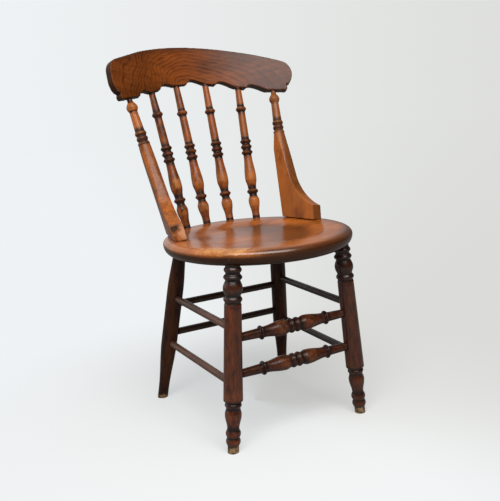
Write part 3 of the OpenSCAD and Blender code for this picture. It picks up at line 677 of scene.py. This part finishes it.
post_front = from_seat(seat_radius - 0.0355, 6.5, seat_top)
post_back = from_seat(seat_radius - 0.0145, 39, seat_top)
post_across = 202.0
post_joint = leaned(post_across, bend_back(post_across), low_edge(post_across))
post_along = (post_back - post_front).normalized()
post_out = post_along.cross(post_joint - post_front).normalized()
post_up = post_out.cross(post_along)


def softened(name, node, voxel, passes):
    """A copy of a plain solid with its sawn arrises eased, as shaving and wear leave them."""
    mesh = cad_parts[node].data.copy()
    mesh.materials.clear()
    shell = bmesh.new()
    shell.from_mesh(mesh)
    bmesh.ops.remove_doubles(shell, verts=shell.verts, dist=1e-6)
    shell.to_mesh(mesh)
    shell.free()
    block = add_object(name, mesh)
    skin = block.modifiers.new("skin", "REMESH")
    skin.mode, skin.voxel_size, skin.use_smooth_shade = "VOXEL", voxel, True
    ease = block.modifiers.new("ease", "SMOOTH")
    ease.factor, ease.iterations = 0.5, passes
    plain = bpy.data.meshes.new_from_object(
        block.evaluated_get(bpy.context.evaluated_depsgraph_get()))
    block.modifiers.clear()
    block.data = plain
    return block


def hollows(mesh, passes, depth):
    """How far each point stands below, or above, the average of its surroundings."""
    points = places(mesh)
    ends = np.empty(len(mesh.edges) * 2, np.int32)
    mesh.edges.foreach_get("vertices", ends)
    a, b = ends.reshape(-1, 2).T
    count = np.bincount(a, minlength=len(points)) + np.bincount(b, minlength=len(points))
    eased = points.copy()
    for _ in range(passes):
        total = np.stack([np.bincount(a, eased[b, k], len(points))
            + np.bincount(b, eased[a, k], len(points)) for k in range(3)], axis=1)
        eased = 0.5 * eased + 0.5 * total / np.maximum(count, 1)[:, None]
    above = np.einsum("ij,ij->i", points - eased, normals_of(mesh)) / depth
    return np.clip(-above, 0, 1), np.clip(above, 0, 1)


# The turned top: its length in millimetres, its lean, its axis and the collar it starts from
post_turned = 115.0
post_lean = math.radians(18)
post_axis = post_along * math.sin(post_lean) + post_up * math.cos(post_lean)
post_collar = post_joint - post_axis * (post_turned / 1000)

material, tree, colour, rough, height = stained_wood("post_stain",
    light=(0.355, 0.099, 0.0160, 1), dark=(0.115, 0.030, 0.006, 1), ring_width=0.0045,
    waviness=0.022, heart=(0.02, 0.03, 0), rings=0.85, dirt_and_shade=0.97, rub=0.5,
    rubbed=(0.48, 0.17, 0.045, 1))
colour = blotched(tree, colour, most=0.5, lumps=(60, 60, 20), start=0.45, end=0.65,
    hue=(0.100, 0.024, 0.008, 1))
place = object_place(tree)
# The right post's board has faded more golden than the left one, and its top is browner
right, _, up = split(tree, place)
faded = calc(tree, "MULTIPLY", remap(tree, right, -0.05, 0.05, 0.0, 0.62),
    remap(tree, cloud(tree, place, (22, 22, 14), 3.0), 0.32, 0.60))
colour = tint(tree, faded, colour, (0.43, 0.130, 0.022, 1))
browner = calc(tree, "MULTIPLY", remap(tree, right, -0.05, 0.05, 0.0, 0.5),
    remap(tree, up, post_collar.z, post_collar.z + 0.02))
colour = tint(tree, browner, colour, (0.125, 0.050, 0.020, 1))
# The left toe: a dark bruise, and beside it the wood rubbed pale down to the seat
toe = mirrored(post_front, -1)


def ragged_away(spot, lumps, raggedness):
    """How far the wood lies from a spot, in metres, made uneven by so many lumps a metre."""
    uneven = calc(tree, "SUBTRACT", cloud(tree, place, (lumps, lumps, lumps), 4.0), 0.5)
    return calc(tree, "MULTIPLY_ADD", uneven, raggedness,
        on_vectors(tree, "DISTANCE", place, tuple(spot)))


rubbed = remap(tree, ragged_away(toe + Vector((0.014, -0.004, 0.022)), 120, 0.016), 0.026, 0.010)
colour = tint(tree, calc(tree, "MULTIPLY", rubbed, 0.8), colour, (0.58, 0.30, 0.16, 1))
bruise = remap(tree, ragged_away(toe + Vector((-0.013, -0.001, 0.034)), 150, 0.012), 0.021, 0.010)
colour = tint(tree, calc(tree, "MULTIPLY", bruise, 0.95), colour, (0.024, 0.012, 0.009, 1))
# Painted shade on the front face of the boards, mostly on the right post
colour = tint(tree, calc(tree, "MULTIPLY", attribute(tree, "front_face"), 0.58), colour,
    (0.036, 0.012, 0.005, 1))
# Stain has stayed between the rings of the turned tops, but not on their crests
rings_away = [on_vectors(tree, "DISTANCE", place,
    tuple(mirrored(post_collar + post_axis * 0.020, side))) for side in (-1, 1)]
between = remap(tree, calc(tree, "MINIMUM", *rings_away), 0.027, 0.021, 0.0, 0.82)
between = calc(tree, "MULTIPLY", between,
    remap(tree, attribute(tree, "crown"), 0.2, 0.55, 1.0, 0.1))
colour = tint(tree, between, colour, (0.040, 0.012, 0.005, 1))
post_finish = wax(material, tree, colour, rough, height, shine=0.29, relief=0.00003,
    gloss=0.28)
# The turned top, in millimetres up from where the board ends: a collar, two rings, a shaft,
# a ball and the end in the rail
post_outline = ([(13.4, -2), (13.8, -0.4), (14.7, 0.6), (14.6, 3), (11.5, 8)]
    + bead(9, 19.5, 12, 14.1) + [(11.3, 21)] + bead(22, 33, 12, 14.3)
    + [(11.6, 35), (10, post_turned - 33)]
    + bead(post_turned - 31, post_turned - 11, 10, 13.9)
    + [(7.2, post_turned - 8), (6.6, post_turned - 3), (6.6, post_turned + 18)])
for side, word in ((-1, "left"), (1, "right")):
    axis = mirrored(post_axis, side)
    collar = mirrored(post_collar, side)
    post = softened("back_post_" + word + "_board", "back_post_" + word, voxel=0.001, passes=3)
    mesh = post.data
    board = bmesh.new()
    board.from_mesh(mesh)
    bmesh.ops.bisect_plane(board, geom=board.verts[:] + board.edges[:] + board.faces[:],
        dist=1e-7, plane_co=collar + axis * 0.0005, plane_no=axis, clear_outer=True)
    bmesh.ops.holes_fill(board, edges=[e for e in board.edges if e.is_boundary])
    bmesh.ops.recalc_face_normals(board, faces=board.faces[:])
    board.to_mesh(mesh)
    board.free()
    points = places(mesh)
    from_toe = points - np.array(mirrored(post_front, side))
    axes = np.array([mirrored(v, side) for v in (post_out, post_along, post_up)])
    in_board = from_toe @ axes.T
    spread(mesh, "grain", in_board + [0.2 + 0.3 * side, 0.5, 0.7 * side], "FLOAT_VECTOR")
    crown = hollows(mesh, passes=24, depth=0.0011)[1]
    # Painted shade where the board meets the seat and where it meets its turned top
    foot_line = np.exp(-np.clip(points[:, 2] - seat_top, 0, 1) / 0.0025)
    collar_line = np.exp(-np.clip((np.array(collar) - points) @ np.array(axis), 0, 1) / 0.002)
    spread(mesh, "hollow", np.maximum(0.6 * foot_line, 0.8 * collar_line))
    spread(mesh, "crown", 0.5 * crown)
    forwards = normals_of(mesh) @ -axes[1]
    # The front edge is painted darker as shade, on the right post above all
    spread(mesh, "front_face", np.clip((forwards - 0.45) / 0.35, 0, 1) * (1 if side > 0 else 0.1))
    mesh.materials.append(post_finish)
    finish_piece(post, "back_post_" + word)
    top = turn_piece("back_post_" + word + "_top", post_outline, collar,
        mirrored(post_joint, side), post_finish, (0.3 * side, 0.2, 0.8 * side),
        dirt_and_shade_at=(post_turned, post_turned - 5, 7.5, 21, 34))
    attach(top, "root")

# ---- Crest rail ----
# A board bent round the sitter's back, crowned above and sawn into shallow scallops below,
# no two alike. It is flat-sawn elm with bold arched figure, dark along its edges.

rail = softened("crest_rail_shaped", "crest_rail", voxel=0.0017, passes=5)
mesh = rail.data
points = places(mesh)
# The rail's points are stood upright and its bend is unrolled: run goes along it, depth goes
# through it and upright_up goes up it, in millimetres
back = (points[:, 1] - seat_middle.y) * 1000 - hinge
up = (points[:, 2] - seat_top) * 1000
upright_back = back * math.cos(back_lean) - up * math.sin(back_lean)
upright_up = back * math.sin(back_lean) + up * math.cos(back_lean)
x = points[:, 0] * 1000
turned_by = np.arctan2(x, upright_back + bend_radius)
held = np.clip(turned_by, -bend_angle, bend_angle)
past = x * np.cos(held) - (upright_back + bend_radius) * np.sin(held)
run = held * bend_radius + past
depth = x * np.sin(held) + (upright_back + bend_radius) * np.cos(held) - bend_radius
# The arches stand on the lower edge, a little left of the middle: steep to the left, and
# running out low to the right, with the board's own slow waves through them
arch_middle, arch_foot = -8, 352
from_arch = run - arch_middle
low = from_arch < 0
wave = (7 * np.sin(run / 41 + upright_up / 33) + 4 * np.sin(run / 17 - upright_up / 21)
    + 2.5 * np.sin(upright_up / 9 + run / 29))
span = np.where(low, -from_arch * 0.86, from_arch * 0.42)
rise = upright_up - arch_foot + 0.10 * np.abs(from_arch) + np.where(low, 0, 0.05) * from_arch
spread(mesh, "figure", np.stack([span + wave * (0.9 * low + 0.25), rise + 0.5 * depth,
    run], axis=1) / 1000, "FLOAT_VECTOR")
spread(mesh, "grain", np.stack([depth, upright_up, run], axis=1) / 1000, "FLOAT_VECTOR")
hollow, crown = hollows(mesh, passes=30, depth=0.0022)
spread(mesh, "hollow", hollow)
spread(mesh, "crown", crown)
normals = normals_of(mesh)
facing = np.abs(normals[:, 0] * np.sin(held) + (normals[:, 1] * math.cos(back_lean)
    - normals[:, 2] * math.sin(back_lean)) * np.cos(held))
# The stain lies darker along the crown, and over the end by the right post
columns = np.arange(-236, 237, 8.0)  # millimetres along the rail
crown_line = [upright_up[np.abs(run - middle) < 5].max(initial=300) for middle in columns]
below_crown = np.interp(run, columns, crown_line) - upright_up
darker = 0.75 * np.exp(-(below_crown / 12) ** 2)
spread(mesh, "stained", np.maximum(darker, 0.62 * np.clip((run - 95) / 95, 0, 1)))
spread(mesh, "edge_face", np.clip((0.92 - facing) / 0.40, 0, 1))

material, tree, colour, rough, height = stained_wood("crest_elm",
    light=(0.180, 0.043, 0.0058, 1), dark=(0.026, 0.0064, 0.0019, 1), ring_width=0.0098,
    waviness=0.012, heart=(0, 0, 0), rings=1.0, dirt_and_shade=0.6, rub=0.35,
    rubbed=(0.30, 0.105, 0.030, 1), figure="figure")
grain = attribute(tree, "grain", "Vector")
stained = calc(tree, "MULTIPLY", attribute(tree, "stained"),
    remap(tree, cloud(tree, grain, (60, 150, 13), 3.0), 0.30, 0.60, 0.5, 1.0))
colour = tint(tree, stained, colour, (0.045, 0.017, 0.0085, 1))
colour = tint(tree, calc(tree, "MULTIPLY", attribute(tree, "edge_face"), 0.80), colour,
    (0.022, 0.012, 0.007, 1))
along_rail = split(tree, grain)[2]
mesh.materials.append(wax(material, tree, colour, rough, height, shine=0.42, relief=0.00004,
    gloss=0.10, rubbed_wax=remap(tree, along_rail, 0.03, 0.20, 0.0, 0.5)))
finish_piece(rail, "crest_rail")

# ---- Room ----
# A pale floor under soft studio light: one large window-like lamp high at the front left,
# the light of a pale wall behind the chair, and a dim room in front of it.


def backdrop_hue(tree, way):
    """The pale backdrop, with painted shade that darkens it a little to the right of the room."""
    return tint(tree, remap(tree, split(tree, way)[0], 0.10, 0.95),
        (0.865, 0.89, 0.905, 1), (0.71, 0.715, 0.69, 1))


floor_half, floor_gap = 14, 0.0004
floor_mesh = bpy.data.meshes.new("floor")
floor_mesh.from_pydata([(x * floor_half, y * floor_half, -floor_gap)
    for x, y in ((-1, -1), (1, -1), (1, 1), (-1, 1))], [], [(0, 1, 2, 3)])
floor = add_object("floor", floor_mesh)
# The floor runs into the backdrop with no edge, and throws little light back up
material, tree = start_material("pale_floor")
place = object_place(tree)
away = on_vectors(tree, "LENGTH", place)
hue = backdrop_hue(tree, on_vectors(tree, "NORMALIZE", place))
matt = add_node(tree, "ShaderNodeBsdfDiffuse", {"Color": (0.82, 0.82, 0.795, 1)})
glow = add_node(tree, "ShaderNodeEmission", {"Color": hue})
far = add_node(tree, "ShaderNodeMixShader", {0: remap(tree, away, 0.25, 0.9, 0.5, 1.0),
    1: matt.outputs[0], 2: glow.outputs[0]})
dull = add_node(tree, "ShaderNodeBsdfDiffuse", {"Color": (0.36, 0.36, 0.35, 1)})
seen = add_node(tree, "ShaderNodeLightPath")
shown = add_node(tree, "ShaderNodeMixShader",
    {0: seen.outputs["Is Camera Ray"], 1: dull.outputs[0], 2: far.outputs[0]})
tree.links.new(shown.outputs[0], tree.nodes.new("ShaderNodeOutputMaterial").inputs["Surface"])
floor_mesh.materials.append(material)

# The room shows as the pale backdrop itself, lights the chair a little from all round, and
# shines in the wax only from behind it
world = bpy.data.worlds.new("studio")
bpy.context.scene.world = world
world.use_nodes = True
tree = world.node_tree
tree.nodes.clear()
around_room = add_node(tree, "ShaderNodeTexCoord").outputs["Generated"]
way = split(tree, around_room)
behind = calc(tree, "MULTIPLY", remap(tree, way[1], -0.15, 0.45, 0.04, 0.85),
    remap(tree, way[0], 0.2, 0.8, 1.0, 0.15))
seen = add_node(tree, "ShaderNodeLightPath")
strength = add_node(tree, "ShaderNodeMix", {0: seen.outputs["Is Glossy Ray"],
    2: remap(tree, way[1], -0.7, 0.6, 0.62, 0.36), 3: behind})
plain = add_node(tree, "ShaderNodeMix", {0: seen.outputs["Is Camera Ray"],
    2: strength.outputs[0], 3: 1.0})
hue = tint(tree, seen.outputs["Is Camera Ray"], (0.97, 0.985, 1.0, 1),
    backdrop_hue(tree, around_room))
sky = add_node(tree, "ShaderNodeBackground", {"Color": hue, "Strength": plain.outputs[0]})
tree.links.new(sky.outputs[0], tree.nodes.new("ShaderNodeOutputWorld").inputs["Surface"])


def soft_lamp(name, size, power, at, towards):
    lamp = bpy.data.lights.new(name, "AREA")
    lamp.shape, lamp.size, lamp.size_y, lamp.energy = "RECTANGLE", size[0], size[1], power
    stand = add_object(name, lamp)
    stand.location = at
    stand.rotation_euler = (Vector(towards) - Vector(at)).to_track_quat("-Z", "Y").to_euler()


soft_lamp("window", size=(2.6, 1.3), power=66, at=(-0.62, -1.45, 2.30), towards=(0, 0, 0.5))

# The camera stands in front to the left, a little above the seat, tipped slightly
camera_turn, camera_rise, camera_tip = (math.radians(a) for a in (-27.95, 11.60, -3.69))
back = Vector((math.sin(camera_turn) * math.cos(camera_rise),
    -math.cos(camera_turn) * math.cos(camera_rise), math.sin(camera_rise)))
level = Vector((math.cos(camera_turn), math.sin(camera_turn), 0))
upwards = back.cross(level)
camera_right = level * math.cos(camera_tip) + upwards * math.sin(camera_tip)
camera_up = upwards * math.cos(camera_tip) - level * math.sin(camera_tip)
aim_height, aim_left, distance = 0.40447, 0.01984, 1.67036
lens = bpy.data.cameras.new("camera")
lens.lens, lens.sensor_width = 50.65, 36.0
camera = add_object("camera", lens)
camera.matrix_world = Matrix((camera_right, camera_up, back)).transposed().to_4x4()
camera.location = (Vector((0, seat_middle.y, aim_height)) - level * aim_left
    + back * distance)
bpy.context.scene.camera = camera
bpy.context.scene.view_settings.view_transform = "Standard"
